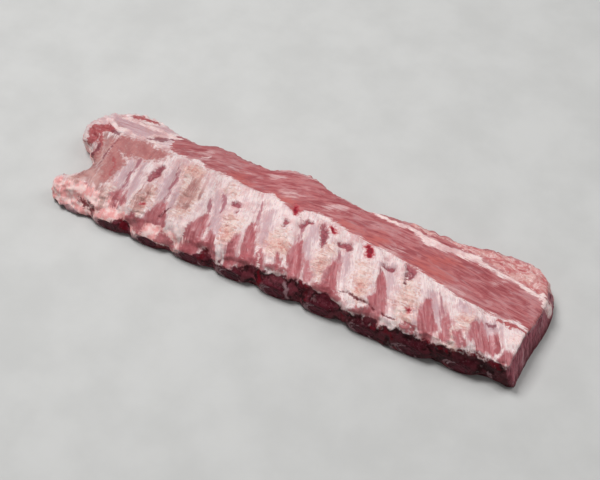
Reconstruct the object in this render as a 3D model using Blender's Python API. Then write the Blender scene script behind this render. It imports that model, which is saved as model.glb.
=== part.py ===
"""Raw rack of pork ribs, lying with its bone side up. The meat is one solid, and each sawn rib bone
is another.

Metres, +Z up. +X runs along the rack towards its square-cut end. +Y runs across it, from the sawn bone
edge to the free edge of the long muscle. The rack rests on the flat middle of its outer side.
"""

import math

import bmesh
import bpy

# ---------------------------------------------------------------- driving sizes
THICKNESS = 0.0235  # of the meat at the square-cut end
THIN_END_LOSS = 0.0030  # how much thinner the ragged end is
HALF_LENGTH = 0.180
HALF_WIDTH = 0.045

RIB_COUNT = 9
RIB_PITCH = 0.0332
FIRST_RIB_X = -0.1243

BONE_HALF_WIDTH = 0.0080  # of the sawn face
BONE_HALF_HEIGHT = 0.0043
BONE_HEIGHT = (0.0058, 0.0068)  # of the middle of the first and the last one above the floor
BONE_DEPTH = 0.050  # from the sawn face to the blind end
BONE_LEAN = -0.04  # x gained for each metre inwards
BONE_CLIMB = 0.06  # height gained for each metre inwards
BONE_PROUD = 0.0008  # the sawn faces stand this far out of the meat
SOCKET_GAP = 0.0003
SOCKET_OVERRUN = 0.012  # how far a socket's cutter reaches out in front of the meat

STRAIGHT_SHARE = 0.12  # of the length at each end, over which the grid's lines stop leaning
LENGTH_STEPS = 104
WIDTH_STEPS = 16
HEIGHT_STEPS = 4

# ---------------------------------------------------------------- outline of the meat, seen from above
FRONT_FOOT = (  # (x, y) of the sawn edge, where it stands on the floor
    (-0.186, -0.0430),
    (-0.150, -0.0450),
    (-0.110, -0.0465),
    (-0.040, -0.0465),
    (0.050, -0.0470),
    (0.072, -0.0480),
    (0.092, -0.0520),
    (0.112, -0.0490),
    (0.140, -0.0475),
    (0.180, -0.0430),
)
FRONT_RIM = (  # (x, y) of the sawn edge at the top
    (-0.186, -0.0400),
    (-0.110, -0.0420),
    (-0.040, -0.0430),
    (0.030, -0.0415),
    (0.065, -0.0455),
    (0.130, -0.0460),
    (0.155, -0.0435),
    (0.180, -0.0450),
)
FAR_EDGE = (  # (x, y) of the long muscle's free edge
    (-0.188, 0.0380),
    (-0.172, 0.0450),
    (-0.155, 0.0505),
    (-0.138, 0.0510),
    (-0.122, 0.0475),
    (-0.100, 0.0440),
    (-0.085, 0.0480),
    (-0.062, 0.0455),
    (-0.038, 0.0450),
    (-0.021, 0.0515),
    (-0.003, 0.0505),
    (0.008, 0.0445),
    (0.040, 0.0390),
    (0.056, 0.0420),
    (0.086, 0.0420),
    (0.108, 0.0405),
    (0.145, 0.0450),
    (0.165, 0.0440),
    (0.184, 0.0380),
)
RAGGED_END = (  # (share of the way across, x): a front lobe, a notch and a far lobe
    (0.00, -0.1730),
    (0.05, -0.1775),
    (0.12, -0.1755),
    (0.21, -0.1660),
    (0.34, -0.1600),
    (0.46, -0.1640),
    (0.58, -0.1740),
    (0.72, -0.1850),
    (0.83, -0.1850),
    (0.94, -0.1795),
    (1.00, -0.1670),
)
SQUARE_END = (  # (share of the way across, x) of its foot: straight, with a round far corner
    (0.00, 0.1775),
    (0.30, 0.1795),
    (0.55, 0.1830),
    (0.78, 0.1835),
    (0.90, 0.1790),
    (0.97, 0.1710),
    (1.00, 0.1600),
)
END_LEAN = 0.0070  # the cut's upper rim stands this far back from its foot

# ---------------------------------------------------------------- top of the meat
MUSCLE_SEAM = (  # (x, y) where the bone side ends and the long muscle starts
    (-0.184, 0.0240),
    (-0.110, 0.0210),
    (-0.030, 0.0165),
    (0.040, 0.0100),
    (0.090, 0.0000),
    (0.130, -0.0080),
    (0.180, -0.0160),
)
SEAM_STEP = 0.0016  # the long muscle lies this much lower than the bone side
SEAM_WIDTH = 0.0060
MUSCLE_FALL = 0.050  # slope of the long muscle down to its free edge
DOME_RISE = 0.0014  # of the fat between two ribs
GROOVE_DROP = 0.0022  # of the meat beside a rib
GROOVE_HALF_WIDTH = 0.0045
RIB_RISE = 0.0012
RIB_HALF_WIDTH = 0.0040
RIB_TOP_OFFSET = 0.0065  # a rib lies this far right of its groove
RIB_FAN = (-0.08, -0.50)  # lean of the first and the last groove: x gained for each metre towards +Y
RIB_PIVOT = 0.004  # each groove crosses its rib this far in front of the rack's middle line
RIBBING_FADE = 0.008  # the ribbing fades out over this width behind the sawn edge
UNEVENNESS = 0.0007

# how far in each edge is rounded over, and how far it falls
FRONT_ROUND = (  # (x, reach)
    (-0.186, 0.0180),
    (-0.060, 0.0140),
    (0.060, 0.0100),
    (0.180, 0.0060),
)
FRONT_FALL = (  # (x, depth)
    (-0.186, 0.0125),
    (-0.140, 0.0100),
    (-0.080, 0.0095),
    (-0.040, 0.0065),
    (0.120, 0.0040),
    (0.180, 0.0014),
)
FAR_ROUND = 0.0150
FAR_FALL = 0.0060
RAGGED_ROUND = 0.0170
RAGGED_FALL = 0.0085
SQUARE_ROUND = 0.0040
SQUARE_FALL = 0.0010

# ---------------------------------------------------------------- underside and side walls
UNDER_ROUND = 0.0085
UNDER_RISE = 0.0026
FRONT_UNDER_RISE = 0.0012
SIDE_BULGE = 0.0016
FAR_BULGE = 0.0034
SCALLOP = 0.0024  # how far the sawn edge waves in and out
RIM_LAG = 1.2  # the rim's waves stand this far along, in radians


def clamp(value, low=0.0, high=1.0):
    return max(low, min(high, value))


def ease(value):
    """0 below 0, 1 above 1, and smooth between them."""
    value = clamp(value)
    return value * value * (3 - 2 * value)


def mix(a, b, share):
    return a + (b - a) * share


def along(points, at):
    """A smooth curve through (place, value) points, read at a place."""
    if at <= points[0][0]:
        return points[0][1]
    if at >= points[-1][0]:
        return points[-1][1]
    i = max(n for n in range(len(points) - 1) if points[n][0] <= at)
    before, start = points[max(i - 1, 0)], points[i]
    end, after = points[i + 1], points[min(i + 2, len(points) - 1)]
    span = end[0] - start[0]
    slope_in = (end[1] - before[1]) / (end[0] - before[0]) * span
    slope_out = (after[1] - start[1]) / (after[0] - start[0]) * span
    t = (at - start[0]) / span
    return (
        (2 * t**3 - 3 * t**2 + 1) * start[1]
        + (t**3 - 2 * t**2 + t) * slope_in
        + (3 * t**2 - 2 * t**3) * end[1]
        + (t**3 - t**2) * slope_out
    )


def bump(distance, half_width):
    """A round-topped ridge: 1 at distance 0, fading out past half_width."""
    return math.exp(-((distance / half_width) ** 2))


def ripple(x, y):
    """The gentle unevenness of soft meat, the same on every run."""
    long_wave = math.sin(61 * x + 2.1 * math.sin(70 * y + 0.4))
    short_wave = math.sin(137 * x - 83 * y + 1.3) * math.cos(119 * y + 47 * x)
    return 0.6 * long_wave + 0.4 * short_wave


def squareness(x):
    """0 at the ragged end of the rack and 1 at the square-cut one."""
    return ease((x + HALF_LENGTH) / (2 * HALF_LENGTH))


def rib_lean(number):
    """How far a rib's groove leans: the grooves fan out along the rack."""
    return mix(RIB_FAN[0], RIB_FAN[1], clamp(number / (RIB_COUNT - 1)))


def rib_x(number, y):
    """Where a rib's groove lies at y."""
    return FIRST_RIB_X + number * RIB_PITCH + rib_lean(number) * (y + RIB_PIVOT)


def front_y(x, height_share):
    """The sawn edge. Its foot stands out at each bone, and its rim stands out between them."""
    phase = 2 * math.pi * (x - FIRST_RIB_X) / RIB_PITCH
    foot = along(FRONT_FOOT, x) + SCALLOP * (0.5 - 0.5 * math.cos(phase))
    rim = along(FRONT_RIM, x) + SCALLOP * (0.5 + 0.5 * math.cos(phase - RIM_LAG))
    return mix(foot, rim, height_share)


def square_x(width_share, height_share):
    """The square-cut end, which leans back from its foot to its rim."""
    return along(SQUARE_END, width_share) - END_LEAN * height_share


def plan(length_share, width_share, height_share):
    """The point of the outline's own grid at these shares of the length, the width and the height.

    On the bone side the lines across the rack lean as the ribs do, except at the two ends.
    """
    x = mix(along(RAGGED_END, width_share), square_x(width_share, height_share), length_share)
    from_end = min(length_share, 1 - length_share)
    inward = min(mix(-HALF_WIDTH, HALF_WIDTH, width_share), 0.0)
    x += rib_lean((x - FIRST_RIB_X) / RIB_PITCH) * (inward + RIB_PIVOT) * ease(from_end / STRAIGHT_SHARE)
    return x, mix(front_y(x, height_share), along(FAR_EDGE, x), width_share)


def edge_distances(x, y, height_share):
    """How far a point lies from the front, far, ragged and square edges."""
    front, far = front_y(x, height_share), along(FAR_EDGE, x)
    width_share = clamp((y - front) / (far - front))
    return y - front, far - y, x - along(RAGGED_END, width_share), square_x(width_share, height_share) - x


def fall(distance, reach, depth):
    """A quarter-round shoulder: depth at the edge, and nothing from reach inwards."""
    inward = clamp(distance / reach)
    return depth * (1 - math.sqrt(1 - (1 - inward) ** 2)) if inward < 1 else 0.0


def ribbing(x, y):
    """The ribs, the meat beside them and the fat domes between them, which show on the bone side alone."""
    relief = 0.0
    for number in range(RIB_COUNT):
        offset = x - rib_x(number, y)
        relief -= GROOVE_DROP * bump(offset, GROOVE_HALF_WIDTH)
        relief += RIB_RISE * bump(offset - RIB_TOP_OFFSET, RIB_HALF_WIDTH)
        relief += DOME_RISE * bump(offset - RIB_PITCH * 0.6, RIB_PITCH * 0.24)
    return relief


def top_z(x, y):
    """Height of the upper side."""
    front, far, ragged, square = edge_distances(x, y, 1)
    seam = along(MUSCLE_SEAM, x)
    muscle = ease((y - seam) / SEAM_WIDTH + 0.5)
    z = THICKNESS - THIN_END_LOSS * (1 - squareness(x))
    z += ribbing(x, y) * (1 - muscle) * ease(front / RIBBING_FADE)
    z -= muscle * (SEAM_STEP + MUSCLE_FALL * max(0.0, y - seam))
    shoulders = (
        fall(front, along(FRONT_ROUND, x), along(FRONT_FALL, x)),
        fall(far, FAR_ROUND, FAR_FALL),
        fall(ragged, RAGGED_ROUND, RAGGED_FALL),
        fall(square, SQUARE_ROUND, SQUARE_FALL),
    )
    return z + UNEVENNESS * ripple(x, y) - math.hypot(*shoulders)


def under_z(x, y):
    """Height of the underside: flat where the rack rests, and rolled up towards its edges."""
    front, far, ragged, square = edge_distances(x, y, 0)
    rises = (
        fall(front, UNDER_ROUND, FRONT_UNDER_RISE),
        fall(far, UNDER_ROUND, UNDER_RISE),
        fall(ragged, UNDER_ROUND, UNDER_RISE),
        fall(square, UNDER_ROUND, FRONT_UNDER_RISE),
    )
    return max(rises)


def material(name, colour, roughness):
    made = bpy.data.materials.new(name)
    made.use_nodes = True
    shader = made.node_tree.nodes["Principled BSDF"]
    shader.inputs["Base Color"].default_value = (*colour, 1)
    shader.inputs["Roughness"].default_value = roughness
    shader.inputs["Metallic"].default_value = 0.0
    made.diffuse_color = (*colour, 1)
    return made


def add_object(name, bm, collection):
    mesh = bpy.data.meshes.new(name)
    bm.normal_update()
    bmesh.ops.recalc_face_normals(bm, faces=bm.faces)
    bm.to_mesh(mesh)
    bm.free()
    made = bpy.data.objects.new(name, mesh)
    collection.objects.link(made)
    return made


def split_along(bm, axis, cuts):
    """Cuts every edge that runs along one axis of the block into cuts + 1 equal lengths."""
    edges = [e for e in bm.edges if abs((e.verts[0].co - e.verts[1].co)[axis]) > 1e-6]
    bmesh.ops.subdivide_edges(bm, edges=edges, cuts=cuts, use_grid_fill=True)


def make_meat(collection):
    """A block, cut into a grid and then shaped by the outline, the two heights and the bulge of its walls."""
    bm = bmesh.new()
    bmesh.ops.create_cube(bm, size=2)
    for axis, steps in enumerate((LENGTH_STEPS, WIDTH_STEPS, HEIGHT_STEPS)):
        split_along(bm, axis, steps - 1)
    for vert in bm.verts:
        a, b, c = vert.co
        # lines across the rack crowd towards its two long edges, where the surface turns over
        width_share = 0.5 + 0.5 * mix(b, math.sin(b * math.pi / 2), 0.45)
        x, y = plan(0.5 + 0.5 * a, width_share, 0.5 + 0.5 * c)
        z = mix(under_z(x, y), top_z(x, y), 0.5 + 0.5 * c)
        swell = 1 - c * c
        if abs(b) > 0.999:
            y += (FAR_BULGE if b > 0 else -SIDE_BULGE) * swell
        if abs(a) > 0.999:
            x += math.copysign(SIDE_BULGE, a) * swell
        vert.co = (x, y, z)
    # the flat that the rack rests on needs no grid of its own
    flat = [face for face in bm.faces if max(v.co.z for v in face.verts) < 1e-7]
    bmesh.ops.dissolve_faces(bm, faces=flat, use_verts=True)
    return add_object("meat", bm, collection)


def bone_mesh(number, grow, overrun):
    """An oval bar that runs in from the sawn edge, rising a little and narrowing to a rounded blind end."""
    sides, rings = 16, 5
    bm = bmesh.new()
    bmesh.ops.create_cone(bm, cap_ends=True, segments=sides, radius1=1, radius2=1, depth=2)
    split_along(bm, 2, rings - 1)
    sawn_x = FIRST_RIB_X + number * RIB_PITCH
    sawn_y = along(FRONT_FOOT, sawn_x) - BONE_PROUD
    sawn_z = mix(BONE_HEIGHT[0], BONE_HEIGHT[1], number / (RIB_COUNT - 1))
    for vert in bm.verts:
        inward = 0.5 + 0.5 * vert.co.z  # 0 at the sawn face and 1 at the blind end
        y = sawn_y + BONE_DEPTH * inward
        if inward < 0.001:
            y -= overrun
        elif inward > 0.999:
            y += grow
        taper = 1.0 - 0.15 * inward - 0.30 * ease(inward * 4 - 3)
        x = sawn_x + BONE_LEAN * (y - sawn_y)
        z = sawn_z + BONE_CLIMB * (y - sawn_y)
        x += vert.co.x * (BONE_HALF_WIDTH * taper + grow)
        z += vert.co.y * (BONE_HALF_HEIGHT * taper + grow)
        vert.co = (x, y, z)
    return bm


def make_bones(collection, cutters, meat):
    """The sawn ribs, each in a socket that its own shape cuts, a little larger, out of the meat."""
    for number in range(RIB_COUNT):
        name = f"rib_bone_{number + 1:02d}"
        bone = add_object(name, bone_mesh(number, 0.0, 0.0), collection)
        bone.data.materials.append(BONE)
        bone.data.shade_smooth()
        bone.data.set_sharp_from_angle(angle=math.radians(40))
        cutter = add_object(f"{name}_socket", bone_mesh(number, SOCKET_GAP, SOCKET_OVERRUN), cutters)
        cutter.hide_render = True
        cutter.display_type = "WIRE"
        socket = meat.modifiers.new(f"{name}_socket", "BOOLEAN")
        socket.operation = "DIFFERENCE"
        socket.object = cutter


def centre_on_floor(objects):
    """Moves all of them together, so that the origin is under the middle of the rack, on the floor."""
    bpy.context.view_layer.update()
    graph = bpy.context.evaluated_depsgraph_get()
    points = []
    for obj in objects:
        if obj.hide_render:
            continue
        shown = obj.evaluated_get(graph)
        points += [shown.matrix_world @ v.co for v in shown.to_mesh().vertices]
        shown.to_mesh_clear()
    shift = [-(min(p[i] for p in points) + max(p[i] for p in points)) / 2 for i in (0, 1)]
    shift.append(-min(p.z for p in points))
    for obj in objects:
        obj.location = shift


for old in list(bpy.data.objects):
    bpy.data.objects.remove(old)

MEAT = material("raw_pork", (0.62, 0.24, 0.24), 0.45)
BONE = material("sawn_bone", (0.55, 0.36, 0.34), 0.5)

rack = bpy.data.collections.new("rack_of_ribs")
sockets = bpy.data.collections.new("cutters")
for made in (rack, sockets):
    bpy.context.scene.collection.children.link(made)

meat = make_meat(rack)
meat.data.materials.append(MEAT)
meat.data.shade_smooth()
make_bones(rack, sockets, meat)
centre_on_floor([*rack.objects, *sockets.objects])
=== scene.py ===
"""Looks for the raw rack of pork ribs: the meat and its sawn rib bones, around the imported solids."""

import math

import bmesh
import bpy
import numpy as np
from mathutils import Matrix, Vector


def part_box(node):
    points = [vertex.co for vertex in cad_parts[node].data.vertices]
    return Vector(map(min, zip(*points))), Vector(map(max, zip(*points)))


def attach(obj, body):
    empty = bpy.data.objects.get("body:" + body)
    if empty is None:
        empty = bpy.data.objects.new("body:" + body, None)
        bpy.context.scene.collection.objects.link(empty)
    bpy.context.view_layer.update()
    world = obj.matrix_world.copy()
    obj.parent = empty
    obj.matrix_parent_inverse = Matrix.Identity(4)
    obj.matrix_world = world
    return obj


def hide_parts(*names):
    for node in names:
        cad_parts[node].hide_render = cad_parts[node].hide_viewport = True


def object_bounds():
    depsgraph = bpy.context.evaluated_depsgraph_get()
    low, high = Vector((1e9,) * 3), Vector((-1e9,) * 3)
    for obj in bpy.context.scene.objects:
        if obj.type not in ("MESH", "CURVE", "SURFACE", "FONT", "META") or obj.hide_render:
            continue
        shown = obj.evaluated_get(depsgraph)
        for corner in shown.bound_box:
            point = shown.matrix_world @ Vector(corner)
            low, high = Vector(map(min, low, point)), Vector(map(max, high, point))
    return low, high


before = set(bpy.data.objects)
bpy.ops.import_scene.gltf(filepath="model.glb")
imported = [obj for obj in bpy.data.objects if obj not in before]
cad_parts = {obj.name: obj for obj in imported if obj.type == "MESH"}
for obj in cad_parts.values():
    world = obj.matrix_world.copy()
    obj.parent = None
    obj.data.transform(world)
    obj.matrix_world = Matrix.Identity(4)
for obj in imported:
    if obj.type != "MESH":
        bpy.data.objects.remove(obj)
cad_low, cad_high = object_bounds()


# ============================================================================= the slab of meat
# One piece of raw pork, cut from along a pig's back and lying with its bone side up. Slanting ribs lie under
# pale fascia, with fat domes and wedges of red meat between them, and a long dark muscle runs along its far
# side. It is sawn through the ribs and at the square end, and torn at the ragged end.
THICKNESS = 0.0235  # at the square-cut end
THIN_END_LOSS = 0.0030  # how much thinner the ragged end is
HALF_LENGTH = 0.180
HALF_WIDTH = 0.045
RIB_COUNT = 9
RIB_PITCH = 0.0332
FIRST_RIB_X = -0.1243
STRAIGHT_SHARE = 0.12  # of the length at each end, over which the mesh's lines stop leaning
LENGTH_STEPS = 408
WIDTH_STEPS = 112
HEIGHT_STEPS = 22

FRONT_FOOT = (  # (x, y) of the sawn edge, where it stands on the floor
    (-0.186, -0.0430),
    (-0.150, -0.0450),
    (-0.110, -0.0465),
    (-0.040, -0.0465),
    (0.050, -0.0470),
    (0.072, -0.0480),
    (0.092, -0.0520),
    (0.112, -0.0490),
    (0.140, -0.0475),
    (0.180, -0.0430),
)
FRONT_RIM = (  # (x, y) of the sawn edge at the top
    (-0.186, -0.0400),
    (-0.110, -0.0420),
    (-0.040, -0.0430),
    (0.030, -0.0415),
    (0.065, -0.0455),
    (0.130, -0.0460),
    (0.155, -0.0435),
    (0.180, -0.0450),
)
FAR_EDGE = (  # (x, y) of the long muscle's free edge
    (-0.188, 0.0380),
    (-0.172, 0.0450),
    (-0.155, 0.0505),
    (-0.138, 0.0510),
    (-0.122, 0.0475),
    (-0.100, 0.0440),
    (-0.085, 0.0480),
    (-0.062, 0.0455),
    (-0.038, 0.0450),
    (-0.021, 0.0515),
    (-0.003, 0.0505),
    (0.008, 0.0445),
    (0.040, 0.0390),
    (0.056, 0.0420),
    (0.086, 0.0420),
    (0.108, 0.0405),
    (0.145, 0.0450),
    (0.165, 0.0440),
    (0.184, 0.0380),
)
RAGGED_END = (  # (share of the way across, x): a front lobe, a notch and a far lobe
    (0.00, -0.1730),
    (0.05, -0.1775),
    (0.12, -0.1755),
    (0.21, -0.1660),
    (0.34, -0.1600),
    (0.46, -0.1640),
    (0.58, -0.1740),
    (0.72, -0.1850),
    (0.83, -0.1850),
    (0.94, -0.1795),
    (1.00, -0.1670),
)
SQUARE_END = (  # (share of the way across, x) of its foot: straight, with a round far corner
    (0.00, 0.1775),
    (0.30, 0.1795),
    (0.55, 0.1830),
    (0.78, 0.1835),
    (0.90, 0.1790),
    (0.97, 0.1710),
    (1.00, 0.1600),
)
END_LEAN = 0.0070  # the cut's upper rim stands this far back from its foot

MUSCLE_SEAM = (  # (x, y) of the step down from the bone side to the long muscle
    (-0.184, 0.0240),
    (-0.110, 0.0210),
    (-0.030, 0.0165),
    (0.040, 0.0100),
    (0.090, 0.0000),
    (0.130, -0.0080),
    (0.180, -0.0160),
)
SEAM_STEP = 0.0016
SEAM_WIDTH = 0.0060
MUSCLE_FALL = 0.050  # slope of the long muscle down to its free edge
DOME_RISE = 0.0014  # of the fat between two ribs
GROOVE_DROP = 0.0022  # of the meat beside a rib
GROOVE_HALF_WIDTH = 0.0045
RIB_RISE = 0.0012
RIB_HALF_WIDTH = 0.0040
RIB_TOP_OFFSET = 0.0065
RIB_FAN = (-0.08, -0.50)  # lean of the first and the last groove
RIB_PIVOT = 0.004
RIBBING_FADE = 0.008
UNEVENNESS = 0.0007
FRONT_ROUND = ((-0.186, 0.0180), (-0.060, 0.0140), (0.060, 0.0100), (0.180, 0.0060))  # (x, reach)
FRONT_FALL = (  # (x, depth) of the rounding along the sawn edge
    (-0.186, 0.0125),
    (-0.140, 0.0100),
    (-0.080, 0.0095),
    (-0.040, 0.0065),
    (0.120, 0.0040),
    (0.180, 0.0014),
)
FAR_ROUND, FAR_FALL = 0.0150, 0.0060
RAGGED_ROUND, RAGGED_FALL = 0.0170, 0.0085
SQUARE_ROUND, SQUARE_FALL = 0.0040, 0.0010
UNDER_ROUND, UNDER_RISE, FRONT_UNDER_RISE = 0.0085, 0.0026, 0.0012
SIDE_BULGE, FAR_BULGE = 0.0016, 0.0034
SCALLOP = 0.0024  # how far the sawn edge waves in and out
RIM_LAG = 1.2

# where each kind of meat, fat and skin shows: strokes through (x, y, half width) places, in millimetres
SEAM_LINE = (  # (x, y) where red muscle meets pale fascia
    (-186, 60),
    (-116, 60),
    (-113, 30),
    (-108, 22),
    (-95, 21),
    (-88, 23),
    (-82, 21),
    (-69, 18),
    (-57, 20),
    (-43, 15),
    (-35, 15),
    (-26, 18),
    (-14, 14),
    (0, 8),
    (10, 15),
    (25, 14),
    (51, 7),
    (71, 4),
    (91, 0),
    (114, -6),
    (128, -12),
    (152, -13),
    (172, -13),
    (186, -24),
)
RIB_MEAT = (  # red meat between the ribs
    ((-123, -26, 1), (-123, -33, 4), (-122, -43, 2.5)),
    ((-118, -27, 0.8), (-117, -35, 2)),
    ((-148, -33, 1.5), (-147, -38, 3), (-145, -43, 3.5)),
    ((-89, -24, 1.5), (-89, -31, 4.5), (-88, -38, 8), (-87, -45, 9)),
    ((-56, -20, 1.3), (-55, -28, 4), (-56, -37, 6), (-57, -45, 6.5)),
    ((-46, -33, 1.2), (-43, -39, 4.2), (-42, -45, 5.5)),
    ((-23, -12, 1), (-21, -20, 3.2), (-18, -30, 4.2), (-14, -41, 4.6)),
    ((-27, -29, 1.5), (-27, -37, 4), (-27, -43, 4.2)),
    ((-8, -31, 1.2), (-6, -37, 3.5), (-5, -44, 4.5)),
    ((12, -12, 1.2), (14, -22, 4.0), (18, -31, 5.0), (21, -40, 3.6)),
    ((6, -30, 1.2), (8, -37, 1.8)),
    ((25, -29, 1.3), (27, -34, 2.6), (29, -39, 3)),
    ((43, -20, 2), (44, -27, 4), (46, -35, 5), (48, -41, 4.5)),
    ((74, -14, 1), (77, -22, 3.4), (80, -32, 4.8), (82, -42, 5.5)),
    ((110, -22, 1.8), (112, -31, 5), (116, -40, 6), (118, -46, 3.5)),
    ((124, -27, 1), (127, -35, 2.6), (129, -43, 3)),
    ((145, -27, 3.5), (149, -34, 5.5), (153, -39, 5)),
    ((158, -31, 3.5), (160, -37, 5)),
    ((-104, -43, 3), (-97, -47, 5)),
    ((171, -38, 2.5), (170, -42, 4)),
    ((137, -38, 3), (139, -42, 3.5)),
    ((77, -45, 0.8), (84, -50, 1)),
)
RIB_LINES = (  # the narrow grooves above them
    ((-125, 4, 0.7), (-125, -11, 1.1), (-123, -26, 1)),
    ((-94, 9, 0.7), (-92, -4, 1.3), (-90, -14, 0.9), (-89, -24, 0.8)),
    ((-60, -7, 0.8), (-58, -12, 1.5), (-57, -17, 1)),
    ((-55, 0, 1.2), (-50, -7, 1.8), (-47, -15, 1.5)),
    ((-26, 7, 0.6), (-24, 0, 1), (-23, -12, 0.9)),
    ((9, 3, 1.2), (9, -4, 1.1), (11, -12, 1)),
    ((42, -10, 0.8), (44, -18, 1.3)),
    ((72, -12, 0.6), (77, -22, 0.6)),
    ((114, -12, 0.7), (119, -23, 0.9), (124, -35, 0.8)),
)
RIB_SKIN = (  # lilac skin over the ribs
    ((-120, 0, 3), (-118, -15, 3), (-114, -29, 2.5)),
    ((-129, -2, 3), (-128, -12, 3.5), (-127, -22, 2.5)),
    ((-97, 7, 3), (-95, -6, 4), (-93, -20, 3)),
    ((-85, -12, 2), (-82, -26, 2)),
    ((-58, -1, 1.5), (-51, -16, 3.4), (-45, -29, 3.4), (-41, -35, 1.5)),
    ((-16, 0, 2), (-13, -14, 3.5), (-8, -26, 2)),
    ((17, 0, 3), (19, -14, 3.5), (25, -26, 2)),
    ((46, -9, 2.5), (50, -19, 2.5), (52, -30, 1.6)),
    ((71, -8, 2.5), (77, -7, 2), (81, -18, 2.5), (84, -29, 1.8)),
    ((109, -16, 3.5), (113, -23, 4), (119, -31, 3)),
    ((144, -23, 3), (153, -25, 5.5), (157, -31, 2.5)),
    ((107, -32, 1.5), (109, -42, 1.5)),
    ((130, -17, 3), (134, -17, 3)),
    ((-166, 34, 3), (-152, 33, 5), (-138, 31, 4)),
    ((-150, 27, 3), (-140, 29, 3)),
    ((-112, 34, 1.5), (-118, 27, 1.5)),
    ((-132, 36, 5), (-122, 42, 3.5)),
)
FAT_DOMES = (  # soft cream fat between the ribs
    ((-128, -30, 4), (-131, -42, 5)),
    ((-101, -19, 5), (-104, -31, 6.5), (-103, -38, 6)),
    ((-84, 8, 8), (-79, 0, 8), (-75, -11, 8), (-75, -26, 7)),
    ((-37, -20, 7), (-32, -32, 6)),
    ((-54, 7, 4.5), (-48, 5, 3.5)),
    ((-2, -16, 7), (2, -26, 8)),
    ((35, -13, 5.5), (35, -28, 7), (40, -36, 4)),
    ((62, -17, 5), (65, -31, 6), (68, -39, 4)),
    ((94, -16, 5), (98, -30, 8), (102, -40, 6)),
    ((134, -28, 4), (140, -25, 4), (132, -44, 7)),
)
ORANGE_TINTS = (  # where thin red meat shines through that fat
    ((-88, 12, 4), (-80, 12, 5)),
    ((-103, -29, 2.5), (-102, -33, 2.5)),
    ((-38, -29, 4), (-33, -33, 4)),
    ((-8, -26, 4), (6, -24, 4)),
    ((35, -24, 3), (36, -32, 3)),
    ((64, -30, 3), (66, -35, 2.5)),
    ((136, -25, 2.5), (141, -24, 2.5)),
    ((-160, -38, 5), (-155, -30, 5)),
)
WHITE_FAT = (  # firm white fat: the seam in the muscle, and lips and lines between the patches of meat
    ((41, 38, 0.8), (60, 33, 1.4), (81, 31, 1.4), (87, 29, 2.2), (94, 26, 3.6), (101, 25, 2.8)),
    ((101, 25, 2.8), (111, 25, 2.4), (121, 25, 3.0), (127, 25, 2.8)),
    ((129, 23, 1.5), (141, 22, 1.1), (151, 21, 1.3), (161, 18, 1.4), (172, 15, 1.7)),
    ((175, 17, 2.6), (176, 13, 1.5)),
    ((-115, -39, 1.8), (-112, -44, 3.2), (-110, -48, 2)),
    ((-170, 31, 2), (-158, 27, 1.6), (-146, 25, 1.2), (-130, 24, 1), (-118, 24, 1.4)),
    ((-160, 38, 1.6), (-146, 37, 1.5), (-128, 37, 1.8), (-112, 36, 2)),
    ((-132, 30, 0.8), (-120, 34, 1.2)),
    ((-178, 9, 1.5), (-172, 3, 1.5), (-164, -6, 1.2)),
    ((-150, -31, 0.8), (-146, -40, 0.9)),
    ((-143, -30, 1.2), (-139, -40, 1.4)),
    ((-49, -31, 0.6), (-47, -44, 0.7)),
    ((-65, -34, 3), (-67, -41, 4)),
    ((-85, 26, 0.8), (-81, 29, 1)),
    ((178, -24, 3), (170, -27, 4)),
    ((-10, -30, 0.6), (-4, -45, 0.8)),
    ((86, -30, 0.6), (90, -40, 0.7)),
)
FAINT_FAT_AND_RIM_HIGHLIGHTS = (  # thin streaks of fat and sinew over the long muscle
    ((-108, 24, 0.8), (-92, 29, 0.8), (-82, 34, 0.6)),
    ((-17, 22, 2), (-10, 23, 2.5)),
    ((16, 23, 1.5), (24, 27, 2.6), (30, 24, 1.6)),
    ((-33, 33, 1.5), (-27, 36, 1.5)),
    ((66, 8, 1.6), (74, 9, 2.2), (80, 11, 1.2)),
    ((68, 5, 1.2), (76, 6, 1.2)),
    ((116, -5, 0.6), (126, -7, 0.6)),
    ((144, 11, 0.6), (149, 15, 0.5)),
    # painted highlights: these two strokes light the rounded rim of the far edge
    ((-26, 46, 2), (-14, 49, 1.5), (-4, 48, 2)),
    ((20, 40, 1.5), (30, 39, 1.8), (36, 36, 1)),
)
DUSKY_SKIN = (  # a smooth salmon-coloured sheet near the ragged end
    ((-146, 12, 9), (-136, 12, 10), (-126, 13, 9), (-117, 13, 7), (-110, 14, 4)),
    ((-146, 2, 6), (-141, -5, 8), (-139, -15, 6), (-139, -23, 3)),
    ((-162, 8, 2.2), (-161, 0, 3.4), (-158, -7, 2.5)),
)
TAN_SKIN = (  # the thinner and paler part of that sheet
    ((-157, 10, 6), (-155, -12, 7), (-150, -24, 8), (-156, -31, 6)),
    ((-142, -12, 10), (-142, -28, 6), (-133, -38, 5)),
    ((-104, -18, 3), (-104, -33, 4)),
    ((-160, 31, 3), (-140, 35, 4), (-126, 33, 3)),
    ((-77, 4, 5), (-75, -18, 6)),
)
BARE_MEAT = (  # brighter red meat that shows at the ragged end and through the fascia
    ((-170, 10, 4.5), (-172, 17, 6), (-164, 24, 5)),
    ((-165, 12, 2), (-161, 5, 1.5)),
    ((-154, 43, 2.5), (-142, 45, 2.2), (-134, 46, 1)),
    ((-143, -3, 1.0), (-139, -9, 0.8), (-137, -18, 0.4)),
    ((-170, -44, 3), (-162, -46, 4.5), (-154, -47, 3)),
    ((-147, -36, 1.6), (-143, -43, 2.6), (-140, -49, 2)),
    ((-106, -47, 3.5), (-99, -49, 4)),
    ((157, -18, 1.6), (166, -17, 2.4), (176, -19, 1.6)),
)
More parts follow.
